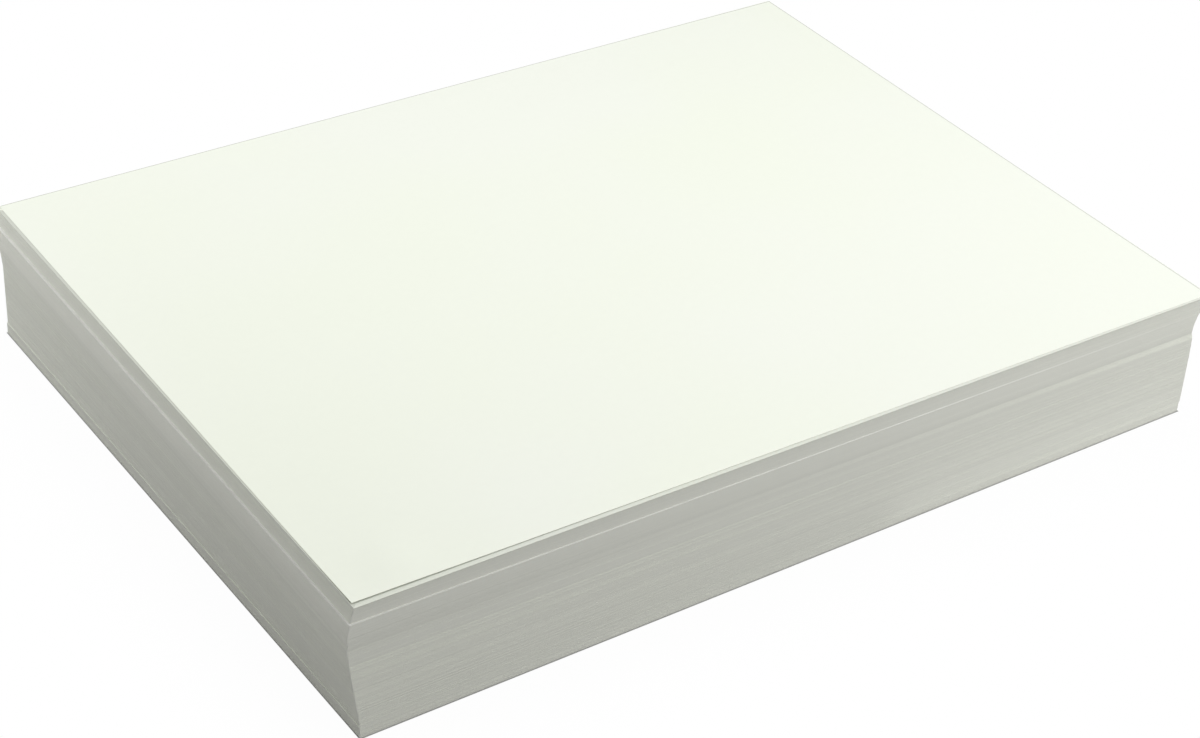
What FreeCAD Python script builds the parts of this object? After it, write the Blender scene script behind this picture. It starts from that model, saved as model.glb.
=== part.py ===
# A ream of loose letter-size paper: 500 sheets squared up by hand into one pile.
# Frame: millimetres, X along the sheet's long side, Y along its short side, Z up.
# The origin is the centre of the bottom sheet's underside, and that sheet lies square to the axes.

import FreeCAD
import Part
import Sketcher
import os
import random

# One sheet of writing paper.
SHEET = {
    "sheet_length": 279.4,
    "sheet_width": 215.9,
    "sheet_thickness": 0.09,
}

# How far a sheet strays from its neighbours inside a packet, each way.
STRAY = {
    "stray_slide": 0.018,
    "stray_turn": 0.007,
}
STRAY_SEED = 500

# The packets that the pile is built of, from the table up. Each one starts a small step away from the
# last sheet of the packet below it, leans on from there, and bows out most at its middle: x and y in
# millimetres, turn in degrees.
PACKETS = {
    "bottom_packet": {
        "sheets": 40,
        "step_x": 0.0, "step_y": 0.0, "step_turn": 0.0,
        "lean_x": -0.05, "lean_y": -0.15, "lean_turn": -0.08,
        "bow_x": 0.0, "bow_y": 0.0, "bow_turn": 0.0,
    },
    "lower_packet": {
        "sheets": 210,
        "step_x": 0.25, "step_y": 0.0, "step_turn": 0.0,
        "lean_x": -0.6, "lean_y": -0.4, "lean_turn": -0.72,
        "bow_x": 0.0, "bow_y": 0.0, "bow_turn": 0.0,
    },
    "middle_packet": {
        "sheets": 66,
        "step_x": 0.05, "step_y": 0.05, "step_turn": 0.0,
        "lean_x": -0.7, "lean_y": -0.53, "lean_turn": -0.06,
        "bow_x": 0.0, "bow_y": 0.0, "bow_turn": 0.0,
    },
    "turned_packet": {
        "sheets": 18,
        "step_x": 0.0, "step_y": 0.0, "step_turn": 0.0,
        "lean_x": -0.45, "lean_y": -0.05, "lean_turn": 0.22,
        "bow_x": 0.0, "bow_y": 0.0, "bow_turn": 0.0,
    },
    "ledge_packet": {
        "sheets": 88,
        "step_x": 0.0, "step_y": 0.0, "step_turn": 0.0,
        "lean_x": -0.1, "lean_y": -1.57, "lean_turn": -0.01,
        "bow_x": -0.4, "bow_y": 0.0, "bow_turn": 0.0,
    },
    "upper_packet": {
        "sheets": 76,
        "step_x": 0.6, "step_y": 0.2, "step_turn": -0.13,
        "lean_x": 0.3, "lean_y": -1.15, "lean_turn": 0.13,
        "bow_x": 0.0, "bow_y": 0.0, "bow_turn": 0.0,
    },
}

# The two loose sheets on top, each a step away from the sheet below it.
LOOSE_SHEETS = {
    "second_sheet": {"step_x": -0.86, "step_y": -1.21, "step_turn": 0.0},
    "top_sheet": {"step_x": 0.71, "step_y": 1.11, "step_turn": -0.2},
}

UP = FreeCAD.Vector(0, 0, 1)

doc = FreeCAD.newDocument("ReamOfPaper")


def fill_spreadsheet():
    """Put every driving dimension into the sheet, one aliased row each."""
    values = {**SHEET, **STRAY}
    for name, sizes in {**PACKETS, **LOOSE_SHEETS}.items():
        for size, value in sizes.items():
            values[f"{name}_{size}"] = value
    table = doc.addObject("Spreadsheet::Sheet", "sizes")
    for row, (alias, value) in enumerate(values.items(), start=1):
        table.set(f"A{row}", alias)
        table.set(f"B{row}", str(value))
        table.setAlias(f"B{row}", alias)
    doc.recompute()
    return table


class Pose:
    """Where a sheet lies on the pile: its centre and its turn about the vertical."""

    def __init__(self, x=0.0, y=0.0, turn=0.0):
        self.x = x
        self.y = y
        self.turn = turn

    def moved(self, x, y, turn):
        return Pose(self.x + x, self.y + y, self.turn + turn)

    def moved_by(self, name, move, share=1.0):
        """The pose after a share of a piece's step, lean or bow, as the sheet gives it."""
        x, y, turn = (table.get(f"{name}_{move}_{way}") * share for way in ("x", "y", "turn"))
        return self.moved(x, y, turn)

    def placement(self):
        return FreeCAD.Placement(FreeCAD.Vector(self.x, self.y, 0), FreeCAD.Rotation(UP, self.turn))


def stack_height(pieces_below, sheets_below=0):
    """The expression for the height of the sheets under a sheet."""
    counts = [f"sizes.{name}_sheets" for name in pieces_below if name in PACKETS]
    loose = sheets_below + sum(name in LOOSE_SHEETS for name in pieces_below)
    return f"sizes.sheet_thickness * ({' + '.join(counts + [str(loose)])})"


def packed_sheet(number, pose, height):
    """One sheet inside a packet: a thin box with its middle on the pose."""
    box = doc.addObject("Part::Box", f"sheet_{number:03d}")
    box.setExpression("Length", "sizes.sheet_length")
    box.setExpression("Width", "sizes.sheet_width")
    box.setExpression("Height", "sizes.sheet_thickness")
    to_middle = FreeCAD.Vector(-table.sheet_length / 2, -table.sheet_width / 2, 0)
    box.Placement = pose.placement() * FreeCAD.Placement(to_middle, FreeCAD.Rotation())
    box.setExpression("Placement.Base.z", height)
    return box


def packet(name, below, start, first_number, chance):
    """A packet of separate sheets that leans evenly from its first sheet to its last."""
    count = int(table.get(f"{name}_sheets"))
    sheets = []
    for index in range(count):
        share = index / max(count - 1, 1)
        pose = start.moved_by(name, "lean", share).moved_by(name, "bow", 4 * share * (1 - share))
        if index:
            x, y = (chance.uniform(-1, 1) * table.stray_slide for way in "xy")
            pose = pose.moved(x, y, chance.uniform(-1, 1) * table.stray_turn)
        sheets.append(packed_sheet(first_number + index, pose, stack_height(below, index)))
    group = doc.addObject("Part::Compound", name)
    group.Links = sheets
    group.Label = name
    return group


def loose_sheet(name, pose, height):
    """A sheet lying by itself: a rectangle about its own centre, padded to the paper's thickness."""
    body = doc.addObject("PartDesign::Body", name)
    body.Label = name
    outline = body.newObject("Sketcher::SketchObject", f"{name}_outline")
    plane = next(item for item in body.Origin.OriginFeatures if item.Role == "XY_Plane")
    outline.AttachmentSupport = [(plane, "")]
    outline.MapMode = "FlatFace"

    half_length = table.sheet_length / 2
    half_width = table.sheet_width / 2
    corners = [
        FreeCAD.Vector(-half_length, -half_width, 0),
        FreeCAD.Vector(half_length, -half_width, 0),
        FreeCAD.Vector(half_length, half_width, 0),
        FreeCAD.Vector(-half_length, half_width, 0),
    ]
    for side in range(4):
        outline.addGeometry(Part.LineSegment(corners[side], corners[(side + 1) % 4]), False)
    for side in range(4):
        outline.addConstraint(Sketcher.Constraint("Coincident", side, 2, (side + 1) % 4, 1))
    for side, way in enumerate(("Horizontal", "Vertical", "Horizontal", "Vertical")):
        outline.addConstraint(Sketcher.Constraint(way, side))
    outline.addConstraint(Sketcher.Constraint("Symmetric", 0, 1, 1, 2, -1, 1))
    for side, way, size in ((0, "DistanceX", "sheet_length"), (1, "DistanceY", "sheet_width")):
        dimension = outline.addConstraint(Sketcher.Constraint(way, side, 1, side, 2, table.get(size)))
        outline.renameConstraint(dimension, size)
        outline.setExpression(f"Constraints.{size}", f"sizes.{size}")

    pad = body.newObject("PartDesign::Pad", f"{name}_pad")
    pad.Profile = outline
    pad.setExpression("Length", "sizes.sheet_thickness")
    body.Tip = pad
    body.Placement = pose.placement()
    body.setExpression("Placement.Base.z", height)
    return body


def build_pile():
    """Lay the packets and the loose sheets from the table up."""
    chance = random.Random(STRAY_SEED)
    pieces = []
    below = []
    pose = Pose()
    next_number = 1
    for name in PACKETS:
        start = pose.moved_by(name, "step")
        pieces.append(packet(name, below, start, next_number, chance))
        pose = start.moved_by(name, "lean")
        next_number += int(table.get(f"{name}_sheets"))
        below.append(name)
    for name in LOOSE_SHEETS:
        pose = pose.moved_by(name, "step")
        pieces.append(loose_sheet(name, pose, stack_height(below)))
        below.append(name)
    return pieces


def check(pieces):
    """Stop unless every object computed and every piece is sound."""
    for item in doc.Objects:
        if "Invalid" in item.State or "Error" in item.State:
            raise RuntimeError(f"{item.Label} did not compute: {item.State}")
    for piece in pieces:
        if piece.Shape.isNull() or not piece.Shape.isValid():
            raise RuntimeError(f"{piece.Label} has no sound shape")


table = fill_spreadsheet()
pile = build_pile()
doc.recompute()
check(pile)

os.makedirs("parts", exist_ok=True)
for piece in pile:
    piece.Shape.exportStep(f"parts/{piece.Label}.step")
    print(f"{piece.Label}: {len(piece.Shape.Solids)} sheets, top at {piece.Shape.BoundBox.ZMax:.2f} mm")
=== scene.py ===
# The looks of a ream of letter paper: 500 loose sheets squared up by hand, the top two lying a little askew.
# Metres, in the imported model's frame: X along the sheets' long side, Y along the short side, Z up.

import math

import bmesh
import bpy
from mathutils import Matrix, Vector, noise


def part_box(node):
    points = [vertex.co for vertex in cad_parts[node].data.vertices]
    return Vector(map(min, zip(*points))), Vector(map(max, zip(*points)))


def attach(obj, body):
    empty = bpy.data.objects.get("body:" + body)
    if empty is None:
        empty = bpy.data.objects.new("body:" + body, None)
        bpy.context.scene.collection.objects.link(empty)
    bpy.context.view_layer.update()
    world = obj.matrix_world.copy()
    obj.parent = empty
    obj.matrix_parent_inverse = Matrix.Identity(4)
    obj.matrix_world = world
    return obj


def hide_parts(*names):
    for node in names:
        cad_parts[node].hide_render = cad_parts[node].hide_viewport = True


mm = 0.001
plainWhite = (1, 1, 1, 1)

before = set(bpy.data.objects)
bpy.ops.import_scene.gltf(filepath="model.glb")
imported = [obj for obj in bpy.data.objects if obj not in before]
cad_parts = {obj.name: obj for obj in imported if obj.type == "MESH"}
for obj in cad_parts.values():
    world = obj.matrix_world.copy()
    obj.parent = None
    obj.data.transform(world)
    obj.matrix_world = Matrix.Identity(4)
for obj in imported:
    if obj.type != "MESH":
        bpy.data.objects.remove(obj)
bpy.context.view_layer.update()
print("frame loaded:", len(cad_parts), "nodes")


# A socket that can stand in a sum: each operator adds the Math node that it needs.
class Wire:
    def __init__(self, tree, socket):
        self.tree = tree
        self.socket = socket

    def joined(self, operation, first, second):
        return self.tree.add("ShaderNodeMath", {"operation": operation}, {0: first, 1: second})

    def __add__(self, other):
        return self.joined("ADD", self, other)

    def __radd__(self, other):
        return self.joined("ADD", other, self)

    def __sub__(self, other):
        return self.joined("SUBTRACT", self, other)

    def __rsub__(self, other):
        return self.joined("SUBTRACT", other, self)

    def __mul__(self, other):
        return self.joined("MULTIPLY", self, other)

    def __rmul__(self, other):
        return self.joined("MULTIPLY", other, self)

    def __truediv__(self, other):
        return self.joined("DIVIDE", self, other)

    def __rtruediv__(self, other):
        return self.joined("DIVIDE", other, self)


# A node tree being wired: every node comes from add().
class Wiring:
    def __init__(self, nodeTree):
        self.nodes = nodeTree.nodes
        self.links = nodeTree.links
        self.nodes.clear()

    def add(self, kind, settings=None, values=None, output=0):
        node = self.nodes.new(kind)
        for name, setting in (settings or {}).items():
            setattr(node, name, setting)
        for name, value in (values or {}).items():
            if isinstance(value, Wire):
                self.links.new(value.socket, node.inputs[name])
            else:
                node.inputs[name].default_value = value
        return Wire(self, node.outputs[output] if len(node.outputs) else None)

    # Noise between 0 and 1 on a place that is stretched by a scale for each axis, in waves per metre.
    def grain(self, place, waves, detail=2.0, roughness=0.5):
        stretched = self.add("ShaderNodeVectorMath", {"operation": "MULTIPLY"}, {0: place, 1: waves})
        return self.add("ShaderNodeTexNoise", {"noise_dimensions": "3D"},
                        {"Vector": stretched, "Scale": 1.0, "Detail": detail, "Roughness": roughness})

    # Goes from 0 to 1 as a value goes from low to high.
    def ramp(self, value, low, high):
        return self.add("ShaderNodeMapRange", {"interpolation_type": "SMOOTHSTEP"},
                        {"Value": value, "From Min": low, "From Max": high})

    def blend(self, factor, first, second):
        return self.add("ShaderNodeMix", {"data_type": "RGBA"}, {0: factor, 6: first, 7: second}, output=2)

    def shade(self, colour, factor):
        return self.add("ShaderNodeVectorMath", {"operation": "SCALE"}, {0: colour, "Scale": factor})

    # 1 where the camera sees a surface, also by way of gloss or glass, and 0 where the surface only gives light.
    def seen(self):
        paths = [self.add("ShaderNodeLightPath", output=name)
                 for name in ("Is Camera Ray", "Is Glossy Ray", "Is Transmission Ray")]
        return self.add("ShaderNodeClamp", {}, {0: paths[0] + paths[1] + paths[2]})


def newMaterial(name):
    material = bpy.data.materials.new(name)
    material.use_nodes = True
    return material, Wiring(material.node_tree)


def paint(wiring, colour, roughness, height, bumpDepth, bumpStrength, gloss):
    bumped = wiring.add("ShaderNodeBump", {}, {"Height": height, "Distance": bumpDepth, "Strength": bumpStrength})
    paper = wiring.add("ShaderNodeBsdfPrincipled", {}, {
        "Base Color": colour, "Roughness": roughness, "Normal": bumped, "Specular IOR Level": gloss,
    })
    wiring.add("ShaderNodeOutputMaterial", {}, {"Surface": paper})


# The face of a sheet: smooth office stock, near white, with the faint clouds that the fibres leave.
sheetFace = {
    "greener": (0.905, 0.940, 0.828, 1),
    "plainer": (0.911, 0.937, 0.852, 1),
    "tintWaves": 9.0,         # slow change of tint, waves per metre
    "tintFrom": 0.3,
    "tintTo": 0.7,
    "cloudWaves": 420.0,      # clouds of fibre, about 2 mm
    "cloudDepth": 0.018,
    "fibreWaves": 5200.0,     # single fibres, about 0.2 mm
    "fibreStretch": 0.35,     # they lie along the short side, in longer waves
    "fibreDepth": 0.012,
    "cloudBump": 0.6,         # how high a cloud stands beside a fibre
    "bumpDepth": 0.012 * mm,
    "bumpStrength": 0.35,
    "roughness": 0.78,
    "roughnessSpread": 0.1,
    "gloss": 0.22,
}


def makeFaceMaterial(name, brightness):
    look = sheetFace
    material, wiring = newMaterial(name)
    place = wiring.add("ShaderNodeTexCoord", output=3)
    tint = wiring.ramp(wiring.grain(place, (look["tintWaves"],) * 3), look["tintFrom"], look["tintTo"])
    cloud = wiring.grain(place, (look["cloudWaves"],) * 3, detail=3.0)
    across, along = look["fibreWaves"], look["fibreWaves"] * look["fibreStretch"]
    fibre = wiring.grain(place, (across, along, across), detail=3.0)
    tone = brightness + (cloud - 0.5) * look["cloudDepth"] + (fibre - 0.5) * look["fibreDepth"]
    colour = wiring.shade(wiring.blend(tint, look["greener"], look["plainer"]), tone)
    paint(wiring, colour, look["roughness"] + (cloud - 0.5) * look["roughnessSpread"],
          cloud * look["cloudBump"] + fibre, look["bumpDepth"], look["bumpStrength"], look["gloss"])
    return material


# The cut edges: 500 edges of 0.09 mm make the sides, in runs of lighter and darker sheets.
cutEdge = {
    "light": (0.778, 0.786, 0.726, 1),
    "dark": (0.748, 0.755, 0.697, 1),
    "wearAndHighlight": (0.985, 0.985, 0.955, 1),     # lighter at the corners and on a proud edge: partly raised fibres, partly a painted highlight
    "sheetThickness": 0.09 * mm,
    "runWaves": (1.0, 1.0, 620.0),        # runs of ten or so sheets
    "streakWaves": (1.5, 1.5, 3300.0),    # one to three sheets
    "nickWaves": (900.0, 900.0, 9000.0),  # rag of the cut, along each edge
    "runShare": 0.55,
    "streakShare": 0.35,
    "nickShare": 0.10,
    "darkBelow": 0.34,                    # the mixed noise that is all dark, and all light
    "lightAbove": 0.66,
    "gapFrom": 0.36,                      # painted shade in the line between two sheets begins this far from a sheet's middle
    "gapTo": 0.5,
    "gapDepth": 0.06,                     # how much darker that painted shade is
    "proudDepth": 0.20 * mm,              # how far down a proud top edge gets the painted highlight
    "paintedShadeReach": 3.0 * mm,                # how far up the painted shade at the foot of an overhanging packet reaches
    "paintedShadeDepth": 0.06,
    "nickBump": 0.5,                      # how high a nick stands beside the depth of a gap
    "bumpDepth": 0.02 * mm,
    "bumpStrength": 0.15,
    "roughness": 0.9,
    "roughnessSpread": 0.06,
    "gloss": 0.15,
}


def makeEdgeMaterial(name, brightness, proudTop=None, foot=None):
    look = cutEdge
    material, wiring = newMaterial(name)
    place = wiring.add("ShaderNodeTexCoord", output=3)
    height = wiring.add("ShaderNodeSeparateXYZ", {}, {0: place}, output=2)
    run = wiring.grain(place, look["runWaves"], detail=1.0)
    streak = wiring.grain(place, look["streakWaves"], detail=1.0)
    nick = wiring.grain(place, look["nickWaves"], detail=2.0)
    mix = run * look["runShare"] + streak * look["streakShare"] + nick * look["nickShare"]
    inSheet = wiring.add("ShaderNodeMath", {"operation": "FRACT"}, {0: height / look["sheetThickness"]})
    fromMiddle = wiring.add("ShaderNodeMath", {"operation": "ABSOLUTE"}, {0: inSheet - 0.5})
    gap = wiring.ramp(fromMiddle, look["gapFrom"], look["gapTo"])
    colour = wiring.blend(wiring.ramp(mix, look["darkBelow"], look["lightAbove"]), look["dark"], look["light"])
    tone = brightness * (1.0 - gap * look["gapDepth"])
    # painted shade: the lowest sheets of an overhanging packet are darker
    if foot is not None:
        tone = tone * (1.0 - look["paintedShadeDepth"] * (1.0 - wiring.ramp(height, foot, foot + look["paintedShadeReach"])))
    colour = wiring.shade(colour, tone)
    # the lighter colour at the corners and on a proud top edge: partly wear, partly a painted highlight
    wearAndHighlight = wiring.add("ShaderNodeAttribute", {"attribute_name": "wearAndHighlight"}, output=2)
    # painted highlight along the top of a proud packet
    if proudTop is not None:
        proud = wiring.ramp(height, proudTop - look["proudDepth"], proudTop - look["proudDepth"] / 3)
        wearAndHighlight = wiring.add("ShaderNodeClamp", {}, {0: wearAndHighlight + proud})
    colour = wiring.blend(wearAndHighlight, colour, look["wearAndHighlight"])
    paint(wiring, colour, look["roughness"] - nick * look["roughnessSpread"], nick * look["nickBump"] - gap,
          look["bumpDepth"], look["bumpStrength"], look["gloss"])
    return material


faceMaterial = makeFaceMaterial("sheetFace", 1.0)
print("paper mixed")


joining = {"distance": 0.0001 * mm, "angle": math.radians(1)}
sideBelow = 0.5            # a face whose normal rises less than this is a side
flatWithin = 0.01 * mm     # an edge that climbs less than this lies flat

# The places of a piece's materials: its faces, its edges on the long and short sides, and a loose sheet's strips.
slots = {"face": 0, "long": 1, "short": 2, "front": 3, "left": 4, "far": 5, "shade": 6}


def climb(edge):
    return abs(edge.verts[0].co.z - edge.verts[1].co.z)


# A copy of a node with its loose triangles merged back to whole faces, one closed box a sheet.
def wholeCopy(node):
    mesh = bmesh.new()
    mesh.from_mesh(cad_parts[node].data)
    bmesh.ops.remove_doubles(mesh, verts=mesh.verts, dist=joining["distance"])
    bmesh.ops.dissolve_limit(mesh, angle_limit=joining["angle"], verts=mesh.verts, edges=mesh.edges,
                             use_dissolve_boundaries=False)
    return mesh


def finishPiece(mesh, name, node, materials):
    for face in mesh.faces:
        if abs(face.normal.z) < sideBelow:
            face.material_index = slots["long" if abs(face.normal.y) > abs(face.normal.x) else "short"]
    data = bpy.data.meshes.new(name)
    mesh.to_mesh(data)
    mesh.free()
    for material in materials:
        data.materials.append(material)
    piece = bpy.data.objects.new(name, data)
    bpy.context.scene.collection.objects.link(piece)
    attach(piece, "root")
    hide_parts(node)
    return piece


# The packets: how bright the cut edges are on the long sides and on the short ones, which paints in the light and
# shade that each side gets, and whether the packet hangs over the one below, with a proud top edge.
packets = {
    "bottom_packet": {"name": "bottomPacket", "long": 1.0, "short": 0.95},
    "lower_packet": {"name": "lowerPacket", "long": 0.96, "short": 0.96},
    "middle_packet": {"name": "middlePacket", "long": 0.965, "short": 1.0},
    "turned_packet": {"name": "turnedPacket", "long": 0.965, "short": 1.03},
    "ledge_packet": {"name": "ledgePacket", "long": 0.99, "short": 1.10, "proud": True},
    "upper_packet": {"name": "upperPacket", "long": 0.98, "short": 1.11},
}
cornerWear = {"radius": 0.15 * mm, "segments": 2}


# Rounds the four corners of every sheet, and marks the middle of each rounding for the lighter colour, partly wear
# and partly a painted highlight.
def wearCorners(mesh):
    upright = [edge for edge in mesh.edges if climb(edge) > flatWithin]
    rounded = bmesh.ops.bevel(mesh, geom=upright, offset=cornerWear["radius"], segments=cornerWear["segments"],
                              affect="EDGES", profile=0.5, material=-1)
    corners = set(rounded["faces"])
    wearAndHighlight = mesh.verts.layers.float.new("wearAndHighlight")
    for vertex in mesh.verts:
        inCorner = sum(face in corners for face in vertex.link_faces)
        vertex[wearAndHighlight] = 1.0 if inCorner > 1 else 0.0


bakeMap = {"bands": 5, "sideMargin": 0.01, "bandMargin": 0.02}


# Lays the four sides, and the faces as a fifth band, out one above another in the bake's map.
def layOutSides(mesh, low, high):
    layer = mesh.loops.layers.uv.new("OFBake")
    span = high - low
    sideMargin, bandMargin = bakeMap["sideMargin"], bakeMap["bandMargin"]
    for face in mesh.faces:
        normal = face.normal
        if abs(normal.z) > sideBelow:
            band = 4
        elif abs(normal.x) > abs(normal.y):
            band = 0 if normal.x > 0 else 1
        else:
            band = 2 if normal.y > 0 else 3
        for loop in face.loops:
            share = [(loop.vert.co[axis] - low[axis]) / span[axis] for axis in range(3)]
            along = share[1] if band < 2 else share[0]
            across = share[1] if band == 4 else share[2]
            inBand = bandMargin + (1 - 2 * bandMargin) * across
            loop[layer].uv = (sideMargin + (1 - 2 * sideMargin) * along, (band + inBand) / bakeMap["bands"])


for node, packet in packets.items():
    mesh = wholeCopy(node)
    wearCorners(mesh)
    low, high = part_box(node)
    layOutSides(mesh, low, high)
    proudTop, foot = (high.z, low.z) if packet.get("proud") else (None, None)
    edgeMaterials = [makeEdgeMaterial(packet["name"] + side.title() + "Edge", packet[side], proudTop, foot)
                     for side in ("long", "short")]
    flatMaterial = edgeMaterials[0] if proudTop else faceMaterial
    piece = finishPiece(mesh, packet["name"], node, [flatMaterial] + edgeMaterials)
    print(packet["name"], "made:", len(piece.data.polygons), "faces")


# The two loose sheets: the second one's free front border droops, with a strip of painted shade behind it, and the
# top one's near corner is lifted, with a dimple behind it. Elsewhere their borders lie flat.
looseSheets = {
    "second_sheet": {
        "name": "secondSheet",
        "border": 1.3 * mm,       # the strip round the sheet that has its own faces
        "borderDrop": 0.10 * mm,
        "paintedShadeWidth": 1.0 * mm,   # the strip behind it, painted darker as the shade of the sheet above
        "cornerLift": 0.0,
        "wave": 0.0,
        "dimple": 0.0,
        "rims": {"front": 0.84, "left": 0.70, "far": 1.0, "shade": 0.7},   # brightness of these strips: the front and left ones and the shade strip are painted shade under the sheet above
    },
    "top_sheet": {
        "name": "topSheet",
        "border": 0.35 * mm,
        "borderDrop": 0.0,
        "paintedShadeWidth": 0.0,
        "cornerLift": 0.32 * mm,
        "wave": 0.12 * mm,
        "dimple": 0.45 * mm,
        "rims": {"front": 1.0, "left": 1.0, "far": 0.70},
    },
}
sheetBend = {
    "columns": 84,
    "rows": 65,
    "liftBack": 14 * mm,        # how far back the lifted corner reaches
    "liftAlong": 75 * mm,       # how far along the front edge
    "waveLength": 95 * mm,
    "waveInland": 30 * mm,      # the waves begin this far from the borders
    "dimpleAt": (17 * mm, 11 * mm),
    "dimpleReach": 7 * mm,
}


# The corner at low x and low y, the long side's direction and the size of a node that is one sheet.
def sheetPlace(node):
    mesh = wholeCopy(node)
    flat = [edge for edge in mesh.edges if climb(edge) < flatWithin]
    longSide = max(flat, key=lambda edge: edge.calc_length())
    shortSide = min(flat, key=lambda edge: edge.calc_length())
    length, width = longSide.calc_length(), shortSide.calc_length()
    along = longSide.verts[1].co - longSide.verts[0].co
    if along.x < 0:
        along = -along
    low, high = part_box(node)
    turn = math.atan2(along.y, along.x)
    middle = (low + high) / 2
    middle.z = low.z
    mesh.free()
    return Matrix.Translation(middle) @ Matrix.Rotation(turn, 4, "Z"), length, width, high.z - low.z


def sheetLift(sheet, x, y, length, width):
    fromLeft, fromFront = x + length / 2, y + width / 2
    along = math.exp(-fromLeft / sheetBend["liftAlong"])
    lift = sheet["cornerLift"] * along * math.exp(-fromFront / sheetBend["liftBack"])
    drop = sheet["borderDrop"] * along * max(0, 1 - fromFront / sheet["border"])
    inland = min(1, min(length / 2 - abs(x), width / 2 - abs(y)) / sheetBend["waveInland"])
    inland = inland * inland * (3 - 2 * inland)    # eases in and out
    wave = (0.5 + 0.5 * noise.noise(Vector((x, y, 0)) / sheetBend["waveLength"])) * inland
    atX, atY = sheetBend["dimpleAt"]
    reach = sheetBend["dimpleReach"]
    dimple = math.exp(-((fromLeft - atX) ** 2 + (fromFront - atY) ** 2) / reach ** 2)
    return lift - drop + sheet["wave"] * wave + sheet["dimple"] * dimple


edgeMaterial = makeEdgeMaterial("looseSheetEdge", 1.0)
for node, sheet in looseSheets.items():
    place, length, width, thickness = sheetPlace(node)
    mesh = bmesh.new()
    bmesh.ops.create_grid(mesh, x_segments=sheetBend["columns"], y_segments=sheetBend["rows"], size=0.5,
                          matrix=Matrix.Diagonal((length, width, 1, 1)))
    border = bmesh.ops.inset_region(mesh, faces=mesh.faces[:], thickness=sheet["border"], use_boundary=True,
                                    use_even_offset=True)
    for face in border["faces"]:
        middle = face.calc_center_median()
        if middle.y < sheet["border"] - width / 2:
            side = "front"
        elif middle.x < sheet["border"] - length / 2:
            side = "left"
        else:
            side = "far"
        face.material_index = slots[side]
    # painted shade: a darker strip behind the second sheet's border, under the sheet above
    if sheet["paintedShadeWidth"]:
        inner = [face for face in mesh.faces if face.material_index == slots["face"]]
        paintedShadeRing = bmesh.ops.inset_region(mesh, faces=inner, thickness=sheet["paintedShadeWidth"], use_boundary=True,
                                        use_even_offset=True)
        for face in paintedShadeRing["faces"]:
            face.material_index = slots["shade"]
    for vertex in mesh.verts:
        vertex.co.z = sheetLift(sheet, vertex.co.x, vertex.co.y, length, width)
    raised = bmesh.ops.extrude_face_region(mesh, geom=mesh.faces[:])
    top = [item for item in raised["geom"] if isinstance(item, bmesh.types.BMVert)]
    bmesh.ops.translate(mesh, verts=top, vec=(0, 0, thickness))
    bmesh.ops.transform(mesh, matrix=place, verts=mesh.verts)
    bmesh.ops.recalc_face_normals(mesh, faces=mesh.faces)
    for face in mesh.faces:
        face.smooth = abs(face.normal.z) > sideBelow
    for edge in mesh.edges:
        edge.smooth = len({face.smooth for face in edge.link_faces}) == 1
    # the second sheet's darker rims and its shade strip are painted shade under the sheet above
    rimMaterials = [makeFaceMaterial(f"{sheet['name']}{side.title()}Rim", brightness)
                    for side, brightness in sheet["rims"].items()]
    piece = finishPiece(mesh, sheet["name"], node, [faceMaterial, edgeMaterial, edgeMaterial] + rimMaterials)
    print(sheet["name"], "made:", len(piece.data.polygons), "faces")


# A white floor with the pile's own soft shadow on it.
floor = {
    "size": 30.0,
    "drop": 0.01 * mm,                 # how far it lies below the pile, so that the two don't touch
    "colour": (0.42, 0.42, 0.41, 1),   # what the light bounces off
    "paintedContactShade": (0.45, 0.45, 0.44, 1),
    "contactFrom": 0.05 * mm,          # the dark line where the pile meets the floor: real shadow on a floor colour darkened there, which is painted shade
    "contactTo": 0.20 * mm,
    "shadowShare": 0.03,               # how much of the real shadow shows further out
    "shadowReach": 45 * mm,
}


def makeFloor():
    mesh = bmesh.new()
    bmesh.ops.create_grid(mesh, x_segments=1, y_segments=1, size=floor["size"] / 2)
    data = bpy.data.meshes.new("floor")
    mesh.to_mesh(data)
    mesh.free()
    ground = bpy.data.objects.new("floor", data)
    bpy.context.scene.collection.objects.link(ground)
    ground.location.z = -floor["drop"]
    material, wiring = newMaterial("whiteFloor")
    place = wiring.add("ShaderNodeTexCoord", output=3)
    low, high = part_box("bottom_packet")
    middle, half = (low + high) / 2, (high - low) / 2
    fromMiddle = wiring.add("ShaderNodeVectorMath", {"operation": "SUBTRACT"},
                            {0: place, 1: (middle.x, middle.y, 0)})
    fromMiddle = wiring.add("ShaderNodeVectorMath", {"operation": "ABSOLUTE"}, {0: fromMiddle})
    outside = wiring.add("ShaderNodeVectorMath", {"operation": "SUBTRACT"},
                         {0: fromMiddle, 1: (half.x, half.y, 1)})
    outside = wiring.add("ShaderNodeVectorMath", {"operation": "MAXIMUM"}, {0: outside, 1: (0, 0, 0)})
    away = wiring.add("ShaderNodeVectorMath", {"operation": "LENGTH"}, {0: outside}, output=1)
    seen = wiring.seen()
    contact = 1.0 - wiring.ramp(away, floor["contactFrom"], floor["contactTo"])
    colour = wiring.blend(seen, floor["colour"], plainWhite)
    # painted shade: a darker floor colour along the pile's foot
    colour = wiring.blend(contact, colour, floor["paintedContactShade"])
    lit = wiring.add("ShaderNodeBsdfDiffuse", {}, {"Color": colour})
    white = wiring.add("ShaderNodeEmission", {}, {"Color": plainWhite, "Strength": 1.0})
    shadow = (1.0 - wiring.ramp(away, 0.0, floor["shadowReach"])) * floor["shadowShare"]
    shining = seen * (1.0 - contact) * (1.0 - shadow)
    both = wiring.add("ShaderNodeMixShader", {}, {0: shining, 1: lit, 2: white})
    wiring.add("ShaderNodeOutputMaterial", {}, {"Surface": both})
    data.materials.append(material)


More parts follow.
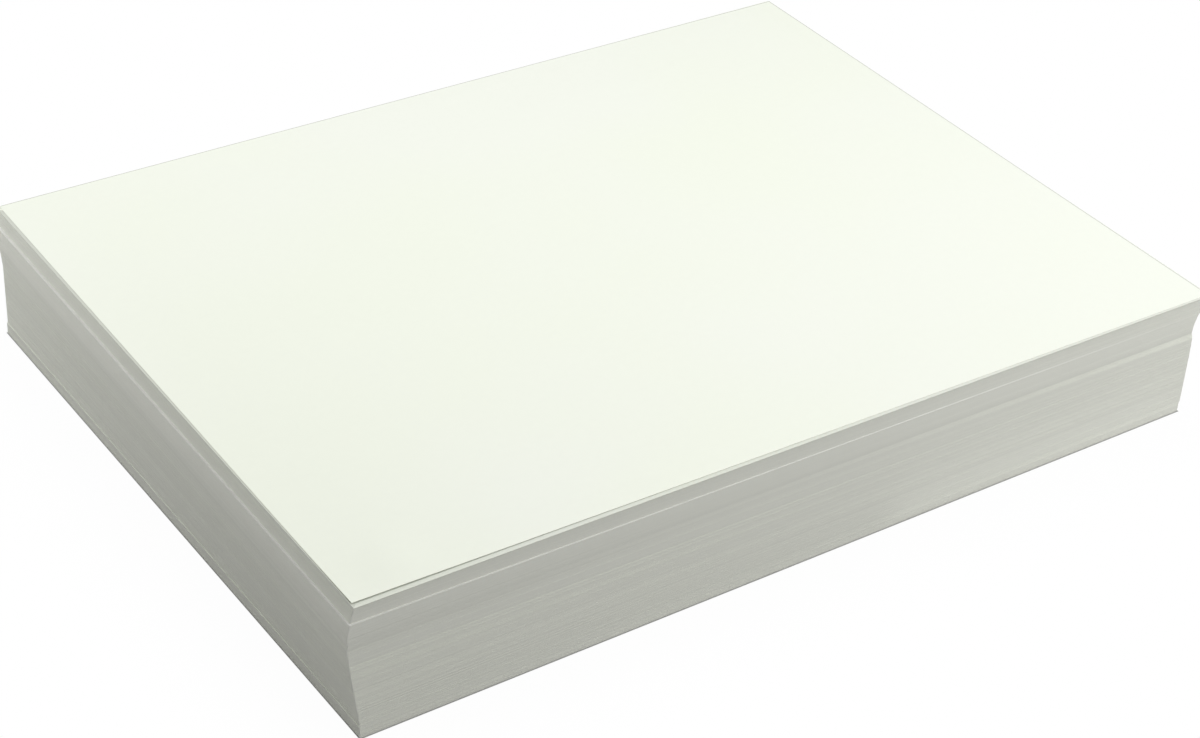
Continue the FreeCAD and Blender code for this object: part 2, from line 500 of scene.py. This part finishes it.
# Soft lamps: one over the pile, one off its right end, a weak one before it, and a small one close to the far
# left corner, so that both sides darken towards the near corner. The last lies on the floor, facing up: the light
# that a white table throws back at the foot of the right end.
lamps = {
    "overPile": {"at": (0.02, 0.12, 0.65), "size": 0.5, "power": 1.97},
    "rightLow": {"at": (0.75, -0.45, 0.38), "size": 0.5, "power": 5.25},
    "frontClose": {"at": (0.10, -0.55, 0.35), "size": 0.4, "power": 0.56},
    "leftClose": {"at": (-0.42, 0.36, 0.22), "size": 0.3, "power": 0.93},
    "tableGlow": {"at": (0.085, -0.119, 0.0005), "size": 0.11, "depth": 0.018, "power": 0.0014,
                  "aim": (0.085, -0.119, 1.0)},
}
lampAim = (0, 0, 0.02)
skyLight = 0.245    # how bright the white surroundings are where they only give light


def makeLights():
    for name, lamp in lamps.items():
        data = bpy.data.lights.new(name, "AREA")
        data.shape = "RECTANGLE"
        data.size = lamp["size"]
        data.size_y = lamp.get("depth", lamp["size"])
        data.energy = lamp["power"]
        light = bpy.data.objects.new(name, data)
        light.location = lamp["at"]
        towards = Vector(lamp.get("aim", lampAim)) - light.location
        light.rotation_euler = towards.to_track_quat("-Z", "Y").to_euler()
        light.visible_camera = False
        bpy.context.scene.collection.objects.link(light)
    world = bpy.data.worlds.new("studio")
    world.use_nodes = True
    bpy.context.scene.world = world
    wiring = Wiring(world.node_tree)
    strength = skyLight + wiring.seen() * (1.0 - skyLight)
    sky = wiring.add("ShaderNodeBackground", {}, {"Color": plainWhite, "Strength": strength})
    wiring.add("ShaderNodeOutputWorld", {}, {"Surface": sky})


# The camera stands left of the near corner and looks down on the pile, rolled a little.
photoCamera = {
    "at": (-390.1 * mm, -563.0 * mm, 459.7 * mm),
    "heading": 35.03,     # degrees from +Y towards +X
    "down": 33.81,
    "roll": 2.34,
    "lens": 82.21,
    "sensor": 36.0,
}


def makeCamera():
    heading, down, roll = (math.radians(photoCamera[name]) for name in ("heading", "down", "roll"))
    ahead = Vector((math.sin(heading) * math.cos(down), math.cos(heading) * math.cos(down), -math.sin(down)))
    level = Vector((math.cos(heading), -math.sin(heading), 0))
    upright = level.cross(ahead)
    right = level * math.cos(roll) + upright * math.sin(roll)
    up = upright * math.cos(roll) - level * math.sin(roll)
    data = bpy.data.cameras.new("photoCamera")
    data.lens = photoCamera["lens"]
    data.sensor_width = photoCamera["sensor"]
    data.sensor_fit = "HORIZONTAL"
    camera = bpy.data.objects.new("photoCamera", data)
    camera.matrix_world = Matrix.Translation(photoCamera["at"]) @ Matrix((right, up, -ahead)).transposed().to_4x4()
    bpy.context.scene.collection.objects.link(camera)
    bpy.context.scene.camera = camera


makeFloor()
makeLights()
makeCamera()
bpy.context.scene.view_settings.view_transform = "Standard"
print("floor, lamps and camera placed")
